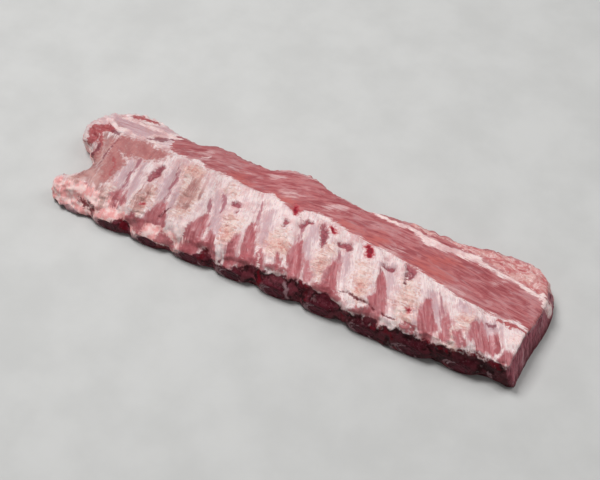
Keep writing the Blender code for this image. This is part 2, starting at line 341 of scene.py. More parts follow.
DARK_SPOTS = (  # purplish brown, where the meat is drying or cut deep
    ((-160, 23, 2.4), (-155, 21, 1.6)),
    ((-132, 26, 0.5), (-124, 29, 2.0), (-115, 32, 0.9)),
    ((-163, 5, 1.6), (-161, -2, 1.4)),
    ((-177, 5, 0.4), (-170, -2, 0.5), (-165, -7, 0.4)),
    ((-151, 14, 0.3), (-152, 0, 0.8), (-151, -13, 0.5)),
    ((150, -22, 1.4), (154, -23, 1.6)),
)
FLUSHES = (  # orange-red flushes in the long muscle
    ((-27, 17, 2), (-8, 15, 3)),
    ((-56, 23, 3), (-46, 21, 3)),
    ((34, 14, 3), (62, 12, 4)),
    ((92, 4, 3), (112, 0, 4)),
    ((100, 12, 4), (118, 16, 3)),
)
HOLLOWS = (  # shallow holes, redder inside
    ((-106, 3, 2.8), (-107, -4, 3.6), (-109, -10, 2.0)),
    ((-43, -3, 2.4), (-39, -4, 1.8)),
    ((-38, -9, 1.1), (-38, -10, 0.8)),
    ((-3, -3, 1.8), (-2, -7, 1.2)),
    ((8, -1, 1.2), (9, 4, 2.0), (14, 4, 1.4)),
    ((22, 5, 1.8), (25, 0, 3.0), (28, -8, 2.4), (28, -12, 1.0)),
    ((39, -4, 1.8), (43, -2, 2.4), (46, -5, 1.8)),
    ((87, -1, 1.6), (91, -4, 3.6), (92, -9, 2.2)),
    ((73, -8, 1.4), (78, -8, 1.8)),
)
SLITS = (  # thin dark cuts
    ((87, -2, 0.5), (89, -9, 0.5), (91, -16, 0.9)),
    ((-83, -26, 0.6), (-85, -29, 1.2), (-86, -34, 0.9)),
    ((53, -38, 0.4), (60, -39, 0.6), (66, -41, 0.9), (74, -41, 0.6), (81, -43, 0.4)),
    ((86, -43, 0.5), (90, -43, 0.9), (95, -44, 0.4)),
    ((102, -43, 0.4), (107, -44, 0.6), (112, -47, 0.6)),
    ((-134, 24, 0.6), (-133, 24, 0.5)),
)
BLOOD = (  # fresh red spots
    ((-3, 14, 1.8), (-1, 10, 2.8), (0, 6, 1.4)),
    ((28, 6, 2.2), (31, 3, 2.4)),
    ((57, 2, 3.0), (59, -1, 3.4), (61, -5, 2.8)),
    ((101, -34, 2.0), (102, -34, 1.8)),
    ((-102, -31, 1.2), (-100, -31, 1.0)),
)
WALL_LOBES = (  # (x, height) of dull red flesh that swells over the sawn edge
    ((-60, 11, 2.5), (-51, 16, 3.0), (-46, 18, 2)),
    ((-27, 15, 2), (-18, 17, 2.5), (-9, 20, 2)),
    ((3, 21, 2), (12, 22.5, 3.5), (21, 22.5, 2)),
    ((38, 20.5, 2), (46, 22, 3.0), (55, 20, 2)),
    ((67, 19, 2), (76, 20, 2.5)),
    ((102, 22, 1.5), (108, 21, 2)),
    ((-105, 14, 4), (-97, 14, 4)),
    ((-80, 11, 3), (-70, 10, 3.5)),
)
WALL_CRIMSON = (  # (x, height) of wet blood on the sawn side
    ((-149, 12, 1.2), (-144, 10, 2.0), (-138, 13, 2.2)),
    ((-138, 12, 2), (-136, 7, 1.5)),
    ((-113, 12, 1.0), (-108, 7, 1.4)),
    ((-84, 6, 1.2), (-77, 5, 1.8)),
    ((-47, 9, 1.0), (-44, 14, 1.0)),
    ((-4, 16, 1.0), (0, 10, 1.4), (-4, 3, 1.8)),
    ((27, 19, 1.0), (32, 19, 1.2), (33, 11, 0.7)),
    ((46, 10, 1.0), (50, 4, 1.2)),
    ((61, 9, 1.6), (63, 1, 2.0)),
    ((82, 13, 0.5), (92, 14, 1.4), (97, 12, 0.9)),
    ((116, 17, 0.6), (128, 17, 0.9), (137, 18, 1.1)),
    ((140, 19, 0.7), (150, 20, 0.8), (159, 20, 1.3), (167, 18, 1.7)),
    ((132, 5, 1.2), (135, 2, 1.2)),
    ((100, 5, 0.8), (101, 0, 1.0)),
)
WALL_SINEW = (  # (x, height) of pale streaks on the sawn side
    ((-162, 5, 1.6), (-156, 3, 3.0), (-151, 3, 2.6)),
    ((-132, 7, 1.5), (-133, 2, 1.6)),
    ((-121, 9, 1.2), (-118, 4, 1.4)),
    ((-101, 7, 1.2), (-101, 1, 1.6)),
    ((-66, 5, 0.9), (-67, 0, 1.2)),
    ((-48, 7, 0.7), (-44, 2, 0.6)),
    ((-33, 10, 0.6), (-33, 4, 0.9), (-36, 1, 0.8)),
    ((-17, 9, 0.8), (-15, 1, 0.8)),
    ((1, 10, 0.7), (0, 4, 0.8), (1, 0, 0.8)),
    ((16, 13, 0.8), (20, 8, 0.9), (21, 4, 0.6)),
    ((35, 9, 0.6), (35, 1, 0.9)),
    ((48, 8, 0.5), (50, 3, 0.5)),
    ((80, 7, 0.5), (83, 0, 1.2)),
    ((98, 6, 0.7), (99, 0, 0.9)),
    ((113, 4, 0.5), (117, 0, 0.8)),
    ((162, 9, 0.8), (164, 3, 0.6)),
)
TRIMMED_FLANK = (  # loose orange-pink meat and fat beyond the white seam
    ((133, 33, 6), (146, 32, 8), (159, 30, 10), (172, 26, 8)),
    ((76, 37, 2), (106, 35, 3), (125, 33, 4)),
)
MUSCLE_GRAIN = (  # (x, y) along one long fibre of the muscle
    (-120, 14),
    (-85, 27),
    (-50, 33),
    (0, 46),
    (35, 51),
    (70, 51),
    (120, 46),
    (190, 36),
)
BONE_HALF_WIDTH = 0.0080
BONE_HALF_HEIGHT = 0.0043
LIP_GAP = 0.3  # millimetres from a bone's sawn face back to the meat round it
SOCKET_SINK = 1.4
# the sawn face below this rim is dark red cut meat, darkened further as painted shade
SAWN_RIM = (  # (x, height) in millimetres where the lit shoulder ends and the dark sawn face begins
    (-186, 3),
    (-130, 4),
    (-122, 7),
    (-114, 12),
    (-107, 11),
    (-100, 5),
    (-88, 8),
    (-75, 6),
    (-62, 8),
    (-50, 13),
    (-35, 12),
    (-20, 14),
    (-5, 17),
    (15, 17),
    (30, 20),
    (45, 19),
    (60, 17),
    (75, 17),
    (86, 15),
    (92, 17),
    (99, 21),
    (107, 20),
    (118, 17),
    (130, 20),
    (140, 20),
    (150, 18),
    (162, 20),
    (184, 21),
)


def ease(value):
    """0 below 0, 1 above 1, and smooth between them."""
    value = np.clip(value, 0.0, 1.0)
    return value * value * (3 - 2 * value)


def mix(a, b, share):
    return a + (b - a) * share


def along(points, at):
    """A smooth curve through (place, value) points, read at any places."""
    places, values = np.array(points, float).T
    at = np.clip(at, places[0], places[-1])
    i = np.clip(np.searchsorted(places, at, side="right") - 1, 0, len(places) - 2)
    before, after = np.maximum(i - 1, 0), np.minimum(i + 2, len(places) - 1)
    span = places[i + 1] - places[i]
    slope_in = (values[i + 1] - values[before]) / (places[i + 1] - places[before]) * span
    slope_out = (values[after] - values[i]) / (places[after] - places[i]) * span
    t = (at - places[i]) / span
    return (
        (2 * t**3 - 3 * t**2 + 1) * values[i]
        + (t**3 - 2 * t**2 + t) * slope_in
        + (3 * t**2 - 2 * t**3) * values[i + 1]
        + (t**3 - t**2) * slope_out
    )


def ridge(distance, half_width):
    """1 at distance 0, fading out past half_width."""
    return np.exp(-((distance / half_width) ** 2))


def rib_lean(number):
    return mix(RIB_FAN[0], RIB_FAN[1], np.clip(number / (RIB_COUNT - 1), 0, 1))


def front_y(x, height_share):
    """The sawn edge. Its foot stands out at each bone, and its rim stands out between them."""
    phase = 2 * math.pi * (x - FIRST_RIB_X) / RIB_PITCH
    foot = along(FRONT_FOOT, x) + SCALLOP * (0.5 - 0.5 * np.cos(phase))
    rim = along(FRONT_RIM, x) + SCALLOP * (0.5 + 0.5 * np.cos(phase - RIM_LAG))
    return mix(foot, rim, height_share)


def square_x(width_share, height_share):
    return along(SQUARE_END, width_share) - END_LEAN * height_share


def plan(length_share, width_share, height_share):
    """The place on the outline's own grid, whose lines across the rack lean as the ribs do."""
    x = mix(along(RAGGED_END, width_share), square_x(width_share, height_share), length_share)
    from_end = np.minimum(length_share, 1 - length_share)
    inward = np.minimum(mix(-HALF_WIDTH, HALF_WIDTH, width_share), 0.0)
    x = x + rib_lean((x - FIRST_RIB_X) / RIB_PITCH) * (inward + RIB_PIVOT) * ease(from_end / STRAIGHT_SHARE)
    return x, mix(front_y(x, height_share), along(FAR_EDGE, x), width_share)


def edge_distances(x, y, height_share):
    """How far a place lies from the front, far, ragged and square edges."""
    front, far = front_y(x, height_share), along(FAR_EDGE, x)
    width_share = np.clip((y - front) / (far - front), 0, 1)
    return y - front, far - y, x - along(RAGGED_END, width_share), square_x(width_share, height_share) - x


def fall(distance, reach, depth):
    """A quarter-round shoulder: depth at the edge, and nothing from reach inwards."""
    inward = np.clip(distance / reach, 0, 1)
    return depth * (1 - np.sqrt(1 - (1 - inward) ** 2))


def ribbing(x, y):
    """The ribs, the meat beside them and the fat domes between them."""
    relief = 0.0
    for number in range(RIB_COUNT):
        offset = x - (FIRST_RIB_X + number * RIB_PITCH + rib_lean(number) * (y + RIB_PIVOT))
        relief = relief - GROOVE_DROP * ridge(offset, GROOVE_HALF_WIDTH)
        relief = relief + RIB_RISE * ridge(offset - RIB_TOP_OFFSET, RIB_HALF_WIDTH)
        relief = relief + DOME_RISE * ridge(offset - RIB_PITCH * 0.6, RIB_PITCH * 0.24)
    return relief


def top_z(x, y):
    """Height of the upper side, without its fine relief."""
    front, far, ragged, square = edge_distances(x, y, 1)
    seam = along(MUSCLE_SEAM, x)
    muscle = ease((y - seam) / SEAM_WIDTH + 0.5)
    z = THICKNESS - THIN_END_LOSS * (1 - ease((x + HALF_LENGTH) / (2 * HALF_LENGTH)))
    z = z + ribbing(x, y) * (1 - muscle) * ease(front / RIBBING_FADE)
    z = z - muscle * (SEAM_STEP + MUSCLE_FALL * np.maximum(0.0, y - seam))
    shoulders = (
        fall(front, along(FRONT_ROUND, x), along(FRONT_FALL, x)),
        fall(far, FAR_ROUND, FAR_FALL),
        fall(ragged, RAGGED_ROUND, RAGGED_FALL),
        fall(square, SQUARE_ROUND, SQUARE_FALL),
    )
    long_wave = np.sin(61 * x + 2.1 * np.sin(70 * y + 0.4))
    short_wave = np.sin(137 * x - 83 * y + 1.3) * np.cos(119 * y + 47 * x)
    z = z + UNEVENNESS * (0.6 * long_wave + 0.4 * short_wave)
    return z - np.sqrt(sum(shoulder**2 for shoulder in shoulders))


def under_z(x, y):
    """Height of the underside: flat where the rack rests, and rolled up towards its edges."""
    front, far, ragged, square = edge_distances(x, y, 0)
    rises = (
        fall(front, UNDER_ROUND, FRONT_UNDER_RISE),
        fall(far, UNDER_ROUND, UNDER_RISE),
        fall(ragged, UNDER_ROUND, UNDER_RISE),
        fall(square, UNDER_ROUND, FRONT_UNDER_RISE),
    )
    return np.maximum.reduce(rises)


def split_along(bm, axis, steps):
    """Cuts every edge that runs along one axis of the block into equal lengths."""
    edges = [e for e in bm.edges if abs((e.verts[0].co - e.verts[1].co)[axis]) > 1e-6]
    bmesh.ops.subdivide_edges(bm, edges=edges, cuts=steps - 1, use_grid_fill=True)


def cloud(x, y, z, size, seed):
    """Smooth random lumps of about this size, in millimetres, between -1 and 1."""
    lattice = np.random.default_rng(seed).uniform(-1, 1, (32, 32, 32))
    total = 0.0
    cells, shares = [], []
    for place in (x, y, z):
        place = np.asarray(place) / size + 16.37
        cells.append(np.floor(place).astype(int))
        shares.append(ease(place - np.floor(place)))
    for corner in np.ndindex(2, 2, 2):
        weight = 1.0
        for share, side in zip(shares, corner):
            weight = weight * (share if side else 1 - share)
        spot = tuple((cell + side) % 32 for cell, side in zip(cells, corner))
        total = total + weight * lattice[spot]
    return total


def strokes(x, y, routes, feather):
    """1 inside any of the strokes, falling steadily to 0 over the feather's width at their edges."""
    most = np.full(x.shape, -1e9)
    for route in routes:
        for (ax, ay, start), (bx, by, end) in zip(route, route[1:]):
            length = (bx - ax) ** 2 + (by - ay) ** 2
            t = np.clip(((x - ax) * (bx - ax) + (y - ay) * (by - ay)) / length, 0, 1)
            away = np.hypot(x - mix(ax, bx, t), y - mix(ay, by, t))
            most = np.maximum(most, mix(start, end, t) - away)
    return np.clip(most / feather + 0.5, 0, 1)


def meat_block():
    """A closed block, cut into a fine grid. The flat that it rests on keeps no grid."""
    bm = bmesh.new()
    bmesh.ops.create_cube(bm, size=2)
    for axis, steps in enumerate((LENGTH_STEPS, WIDTH_STEPS, HEIGHT_STEPS)):
        split_along(bm, axis, steps)
    resting = [
        face
        for face in bm.faces
        if face.calc_center_median().z < -0.999
        and all(abs(v.co.x) < 0.93 and abs(v.co.y) < 0.70 for v in face.verts)
    ]
    bmesh.ops.dissolve_faces(bm, faces=resting, use_verts=True)
    mesh = bpy.data.meshes.new("rack_meat")
    bm.to_mesh(mesh)
    bm.free()
    return mesh


def places_of(mesh):
    flat = np.empty(len(mesh.vertices) * 3, np.float32)
    mesh.vertices.foreach_get("co", flat)
    return flat.reshape(-1, 3).astype(float)


def set_places(mesh, places):
    mesh.vertices.foreach_set("co", places.astype(np.float32).ravel())
    mesh.update()


def set_mark(mesh, name, values):
    """Stores one number or one vector at each vertex, for the material to read."""
    if values.ndim == 1:
        mesh.attributes.new(name, "FLOAT", "POINT").data.foreach_set("value", values.astype(np.float32))
    else:
        stored = mesh.attributes.new(name, "FLOAT_VECTOR", "POINT")
        stored.data.foreach_set("vector", values.astype(np.float32).ravel())


def shape_meat(mesh):
    """Bends the block to the rack's outline, and gives back its own coordinates."""
    a, b, c = places_of(mesh).T
    crowding = mix(b, np.sin(b * math.pi / 2), 0.45)
    x, y = plan(0.5 + 0.5 * a, 0.5 + 0.5 * crowding, 0.5 + 0.5 * c)
    z = mix(under_z(x, y), top_z(x, y), 0.5 + 0.5 * c)
    swell = 1 - c * c
    y = y + np.where(np.abs(b) > 0.999, np.where(b > 0, FAR_BULGE, -SIDE_BULGE) * swell, 0)
    x = x + np.where(np.abs(a) > 0.999, np.copysign(SIDE_BULGE, a) * swell, 0)
    places = np.stack((x, y, z), 1)
    low, high = (np.array(corner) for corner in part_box("meat"))
    places[:, :2] += ((low + high) / 2 - (places.min(0) + places.max(0)) / 2)[:2]
    set_places(mesh, places)
    return a, b, c


def bone_seats():
    """For each bone: the middle of its sawn face, in millimetres."""
    for number in range(RIB_COUNT):
        low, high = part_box(f"rib_bone_{number + 1:02d}")
        yield 1000 * (high.x - BONE_HALF_WIDTH), 1000 * low.y, 1000 * (low.z + BONE_HALF_HEIGHT)


def bone_distance(x, z, bone_x, bone_z):
    """How far each place is across and up from a bone's middle, in the bone's half widths and half heights."""
    return (x - bone_x) / (1000 * BONE_HALF_WIDTH), (z - bone_z) / (1000 * BONE_HALF_HEIGHT)


def mark_meat(mesh, sides):
    """Works out where each kind of tissue shows, where light and shade are painted, and how far it stands out,
    in millimetres.
    """
    a, b, c = sides
    x, y, z = places_of(mesh).T * 1000
    rib_line = x - rib_lean((x / 1000 - FIRST_RIB_X) / RIB_PITCH) * (y + 1000 * RIB_PIVOT)
    grain_y = y - along(MUSCLE_GRAIN, x)
    upper = ease((z - 8) / 4) * ease((c + 0.2) / 0.5)
    # every place is nudged by large and small lumps, and along the fibres by fine ones
    wide, fine = cloud(x, y, z, 7, 11), cloud(x, y, z, 2.4, 12)
    wx = x + 1.4 * wide + 0.7 * fine
    wy = y + 1.4 * cloud(x, y, z, 7, 13) + 0.7 * cloud(x, y, z, 2.4, 14)
    comb = cloud(rib_line / 1.5, y / 9, z / 9, 1, 15)
    teeth = cloud(x / 8, grain_y / 1.2, z / 9, 1, 16)
    seam = along(SEAM_LINE, wx + 4 * teeth) + 0.8 * teeth
    marks = {
        "rib_meat": strokes(wx + 0.5 * comb, wy + 2.0 * comb, RIB_MEAT, 6) * (1.12 + 0.12 * comb),
        "rib_lines": strokes(wx, wy + 1.5 * comb, RIB_LINES, 3),
        "rib_skin": strokes(wx, wy + 2.0 * comb, RIB_SKIN, 7),
        "fat_domes": strokes(wx, wy, FAT_DOMES, 9),
        "orange_tints": strokes(wx, wy, ORANGE_TINTS, 8),
        "white_fat": strokes(wx + 1.5 * teeth, wy, WHITE_FAT, 3),
        "faint_fat_and_highlights": strokes(wx + 3 * teeth, wy + 0.8 * wide, FAINT_FAT_AND_RIM_HIGHLIGHTS, 7),
        "dusky_skin": strokes(wx, wy, DUSKY_SKIN, 8),
        "tan_skin": strokes(wx, wy, TAN_SKIN, 10),
        "bare_meat": strokes(wx, wy, BARE_MEAT, 4),
        "dark_spots": strokes(wx, wy, DARK_SPOTS, 2.4),
        "flushes": strokes(wx, wy, FLUSHES, 12),
        "hollows": strokes(x + 0.7 * fine, y + 0.6 * wide, HOLLOWS, 3),
        "slits": strokes(x + 0.5 * fine, y + 0.7 * wide, SLITS, 1.6),
        "blood": strokes(x + 0.6 * fine, y + 0.6 * fine, BLOOD, 4.5),
        "trimmed": strokes(wx, wy, TRIMMED_FLANK, 5),
    }
    for name in marks:
        marks[name] = marks[name] * upper
    marks["muscle"] = np.clip((wy - seam) / 5 + 0.5, 0, 1) * ease((z - 2) / 3)

    front = ease((-0.88 - b) / 0.08)
    edge_x, edge_z = x + 1.0 * fine + 0.8 * wide, z + 0.7 * fine + 0.7 * wide
    shoulder = ease((-0.76 - b) / 0.12)
    lobes = strokes(edge_x, edge_z, WALL_LOBES, 3.5) * shoulder
    rim = along(SAWN_RIM, x) + 1.0 * wide + 0.8 * fine
    below = front * np.clip((rim - z) / 6 + 0.5, 0, 1)
    far_corner = ease((y - 22) / 6)
    end_face = ease((a - 0.985) / 0.012)
    end = end_face * ease((0.97 - c) / 0.05) * (1 - far_corner)
    torn = ease((-0.985 - a) / 0.01) * ease((13 - z) / 5)
    marks["lobes"] = lobes
    marks["sawn_end"] = end
    marks["sawn"] = np.maximum(below * (1 - 0.8 * ease(lobes)), end)
    marks["crimson"] = strokes(edge_x, edge_z, WALL_CRIMSON, 2.6) * front
    marks["sinew_and_lit_crescents"] = strokes(edge_x, edge_z, WALL_SINEW, 2.2) * front
    # painted light: raw flesh, brightened to stand in for light from the left and front, on the lower-left
    # shoulder, the sawn face's left end and the ragged end's foot
    lit_shoulder_flesh = 0.9 * ease((-0.62 - b) / 0.22) * ease((-100 - x) / 45)
    marks["lit_flesh"] = np.maximum(np.maximum(lit_shoulder_flesh, front * ease((-50 - x) / 20)), torn)
    # painted shade: the top grows darker towards the ragged end, where less light falls
    marks["painted_shade_left"] = ease((-30 - x) / 40)
    # painted shade: the sawn face darker still towards the square end
    marks["deep"] = ease((x - 60) / 40)
    marks["trimmed"] = np.maximum(marks["trimmed"], end_face * far_corner * ease((z - 3) / 3))
    end_fat = ease((a - 0.98) / 0.015) * ridge(y - 12 - 1.5 * wide, 4.0) * ease((z - 7) / 4)
    marks["white_fat"] = np.maximum(marks["white_fat"], end_fat)
    marks["sawn"] = marks["sawn"] * (1 - end_fat)
    end_rim = end_face * ridge(0.90 - c + 0.03 * wide, 0.05) * (1 - far_corner)
    # painted shade: the square end's cut face darkens towards the floor
    marks["low"] = ease((11 - z) / 8)
    marks["wine"] = np.zeros_like(x)
    for bone_x, _, bone_z in bone_seats():
        reach = np.hypot((x - bone_x) / 9.0, (z - bone_z - 1) / 7.0) + 0.10 * fine
        marks["wine"] = np.maximum(marks["wine"], np.clip((1.3 - reach) / 0.6, 0, 1) * front)
        across, up = bone_distance(x, z, bone_x, bone_z)
        # painted highlight: a pale crescent on the meat along each bone's left, lit side
        lip = ridge(np.hypot(across, up) + 0.08 * fine - 1.22, 0.16)
        lip = lip * ease((-0.2 - across) / 0.5) * ease((1.3 - up) / 0.6)
        marks["sinew_and_lit_crescents"] = np.maximum(marks["sinew_and_lit_crescents"], 0.8 * lip * front)
    marks["sinew_and_lit_crescents"] = np.maximum(marks["sinew_and_lit_crescents"], 0.8 * end_rim)

    on_top = upper * (1 - marks["sawn"])
    fascia = on_top * (1 - marks["muscle"])
    relief = -0.7 * marks["rib_meat"] - 0.7 * marks["rib_lines"] + 0.3 * marks["rib_skin"]
    relief += (0.5 * marks["white_fat"] + 0.2 * marks["faint_fat_and_highlights"]) * on_top
    relief -= (1.6 * marks["hollows"] + 0.8 * marks["slits"] + 1.1 * marks["blood"]) * on_top
    relief += fascia * (0.42 * cloud(rib_line / 2.4, y / 8, z / 10, 1, 21) + 0.35 * fine)
    folds = cloud(x / 4.5, y / 2.0, z / 2.5, 1, 23)
    relief += marks["fat_domes"] * (0.50 * cloud(x, y, z, 4, 22) + 1.5 * folds)
    relief += marks["muscle"] * 0.35 * cloud(x / 10, grain_y / 1.6, z / 3, 1, 24)
    relief += marks["muscle"] * 0.75 * cloud(x / 22, grain_y / 5, z / 7, 1, 25)
    relief += marks["trimmed"] * (0.7 * cloud(x, y, z, 3.2, 26) + 0.8 * cloud(x / 2, y, z, 3, 31))
    relief += 0.8 * lobes
    relief += front * (0.8 * cloud(x, y, z, 2.4, 27) + 1.0 * cloud(x, y, z, 5, 18) + 0.5 * marks["sinew_and_lit_crescents"])
    relief += end * (0.35 * cloud(x, y / 2.2, z / 4, 1, 30) + 0.4 * fine)
    ragged = ease((-148 - x) / 14)
    relief += ragged * (1.0 * wide + 1.0 * cloud(x, y, z, 3, 28) + 0.5 * cloud(x, y, z, 1.5, 32))
    far_rim = ease((b - 0.93) / 0.07) * ease((-112 - x) / 6)
    rims = np.maximum(ease((-0.95 - a) / 0.05), far_rim) * ease((z - 7) / 5)
    tags = np.clip(cloud(x, y, z, 2.6, 33) - 0.40, 0, 1) * 4.5 + 2.4 * ridge(y - 9, 1.8) * (x < -165)
    relief += rims * tags
    far_side = ease((b - 0.9) / 0.1)
    relief += far_side * (0.9 * wide + 0.9 * cloud(x, y, z, 3, 29) + 0.5 * fine)
    lengthwise = (x < -108) & (y > 23)  # where the fascia's fibres run along the rack
    over_fibres, along_fibres = np.where(lengthwise, grain_y, rib_line), np.where(lengthwise, x, y)
    marks["rib_grain"] = np.stack((over_fibres, along_fibres, z), 1) / 1000
    marks["long_grain"] = np.stack((x, grain_y, z), 1) / 1000
    return marks, relief * ease((z - 0.2) / 2.5)


def seat_bones(places, front):
    """Brings the sawn wall out to a lip round each bone, and sinks it under the bone."""
    x, y, z = places.T * 1000
    for bone_x, bone_y, bone_z in bone_seats():
        reach = np.hypot(*bone_distance(x, z, bone_x, bone_z))
        lip = ease((2.1 - reach) / 0.9) * front
        wanted = bone_y + LIP_GAP + SOCKET_SINK * ease((1.0 - reach) / 0.12)
        y = mix(y, wanted, lip)
    places[:, 1] = y / 1000
    return places


class Flow:
    """One socket of a material. Sums on it add Math nodes, and node() adds any other kind."""

    def __init__(self, tree, socket=None):
        self.tree = tree
        self.socket = socket

    def node(self, kind, settings, values, output=0):
        """A new node with its settings made, and its sockets filled with numbers or with other flows."""
        made = self.tree.nodes.new("ShaderNode" + kind)
        for name, setting in settings.items():
            setattr(made, name, setting)
        for name, value in values.items():
            if isinstance(value, Flow):
                self.tree.links.new(value.socket, made.inputs[name])
            else:
                made.inputs[name].default_value = value
        return Flow(self.tree, made.outputs[output])

    def math(self, operation, *values):
        return self.node("Math", {"operation": operation}, dict(enumerate(values)))

    def __add__(self, other):
        return self.math("ADD", self, other)

    def __mul__(self, other):
        return self.math("MULTIPLY", self, other)

    def __sub__(self, other):
        return self.math("SUBTRACT", self, other)

    def __rsub__(self, other):
        return self.math("SUBTRACT", other, self)

    __radd__, __rmul__ = __add__, __mul__

    def mark(self, name, output="Fac"):
        """What the mesh says at each place under this name."""
        return self.node("Attribute", {"attribute_name": name}, {}, output)

    def ease(self, low, high):
        """0 where this is under low, 1 where it is over high, and smooth between them."""
        smooth = {"interpolation_type": "SMOOTHSTEP"}
        return self.node("MapRange", smooth, {"Value": self, "From Min": low, "From Max": high})

    def lumps(self, size, detail=3.0, roughness=0.55, shift=0.0, distortion=0.0):
        """Soft noise about 0.5, in lumps of these sizes in metres along the vector's three axes."""
        scaled = self.node("VectorMath", {"operation": "DIVIDE"}, {0: self, 1: size})
        moved = self.node("VectorMath", {"operation": "ADD"}, {0: scaled, 1: (shift,) * 3})
        look = {"Scale": 1.0, "Detail": detail, "Roughness": roughness, "Distortion": distortion}
        return self.node("TexNoise", {}, {"Vector": moved, **look})

    def cells(self, size):
        """Distance to the middle of the nearest of many round cells of this size."""
        scaled = self.node("VectorMath", {"operation": "DIVIDE"}, {0: self, 1: (size,) * 3})
        return self.node("TexVoronoi", {"feature": "F1"}, {"Vector": scaled, "Scale": 1.0, "Randomness": 0.9})

    def line(self, level, width):
        """1 along the thin lines where this passes a level, fading to 0 over the width."""
        return 1 - self.math("ABSOLUTE", self - level).ease(0, width)

    def between(self, start, end):
        """The colour start where this is 0, and end where it is 1."""
        return self.node("Mix", {"data_type": "RGBA"}, {0: self, 6: start, 7: end}, 2)

    def feed(self, shader, name):
        """Links this to one of the shader's sockets."""
        self.tree.links.new(self.socket, shader.inputs[name])


def new_finish(name):
    """A new material with its shader, and a flow to start its other nodes from."""
    made = bpy.data.materials.new(name)
    made.use_nodes = True
    return made, made.node_tree.nodes["Principled BSDF"], Flow(made.node_tree)


FASCIA_WHITE = (0.86, 0.70, 0.69, 1)
FASCIA_PINK = (0.72, 0.46, 0.46, 1)
FASCIA_ROSE = (0.58, 0.28, 0.295, 1)
STRAND_WHITE = (0.92, 0.82, 0.80, 1)
CREAM = (0.78, 0.52, 0.46, 1)
TAN = (0.66, 0.37, 0.32, 1)
TAN_DEEP = (0.52, 0.235, 0.21, 1)
DOME_WHITE = (0.89, 0.73, 0.69, 1)
ORANGE = (0.6, 0.21, 0.175, 1)
SKIN_LILAC = (0.58, 0.38, 0.41, 1)
SKIN_MAUVE = (0.46, 0.24, 0.28, 1)
DUSKY = (0.42, 0.135, 0.135, 1)
DUSKY_PALE = (0.51, 0.2, 0.19, 1)
SALMON = (0.38, 0.155, 0.148, 1)
SALMON_PALE = (0.58, 0.31, 0.285, 1)
MUSCLE = (0.46, 0.13, 0.137, 1)
MUSCLE_DARK = (0.3, 0.058, 0.07, 1)
MUSCLE_PALE = (0.58, 0.25, 0.255, 1)
MUSCLE_VEIL = (0.60, 0.34, 0.35, 1)
MUSCLE_FLUSH = (0.52, 0.12, 0.105, 1)
RIB_RED = (0.45, 0.125, 0.14, 1)
RIB_DARK = (0.34, 0.075, 0.09, 1)
RIB_PALE = (0.60, 0.26, 0.28, 1)
GROOVE = (0.38, 0.12, 0.15, 1)
FRESH_RED = (0.36, 0.045, 0.055, 1)
FRESH_PALE = (0.48, 0.13, 0.13, 1)
HOLLOW_RED = (0.21, 0.022, 0.042, 1)
HOLLOW_PINK = (0.38, 0.1, 0.12, 1)
SPOT_BROWN = (0.22, 0.045, 0.065, 1)
SLIT_DARK = (0.16, 0.016, 0.026, 1)
BLOOD_RED = (0.34, 0.012, 0.03, 1)
BLOOD_RIM = (0.56, 0.11, 0.12, 1)
TRIMMED_RED = (0.52, 0.14, 0.145, 1)
TRIMMED_PINK = (0.66, 0.31, 0.30, 1)
TRIMMED_PALE = (0.74, 0.44, 0.40, 1)
FAT_WHITE = (0.90, 0.70, 0.68, 1)
# The sawn front's colours: dark red cut meat, darkened further as painted shade
WALL_DARK_SHADED = (0.022, 0.0005, 0.002, 1)
WALL_PINK = (0.15, 0.026, 0.038, 1)
WALL_WINE = (0.075, 0.0012, 0.009, 1)
WALL_PURPLE = (0.12, 0.019, 0.034, 1)
CRIMSON_WET = (0.13, 0.0002, 0.007, 1)
SINEW_PALE = (0.36, 0.22, 0.24, 1)
END_PURPLE = (0.38, 0.115, 0.145, 1)
END_DARK = (0.16, 0.03, 0.045, 1)
END_LILAC = (0.54, 0.28, 0.31, 1)
# painted shade, mixed into the top towards the ragged end
LEFT_SHADE_TONE = (0.05, 0.02, 0.02, 1)
# raw flesh, brightened as painted light
FLESH_RED_LIT = (0.84, 0.37, 0.36, 1)
FLESH_PALE_LIT = (0.96, 0.68, 0.65, 1)


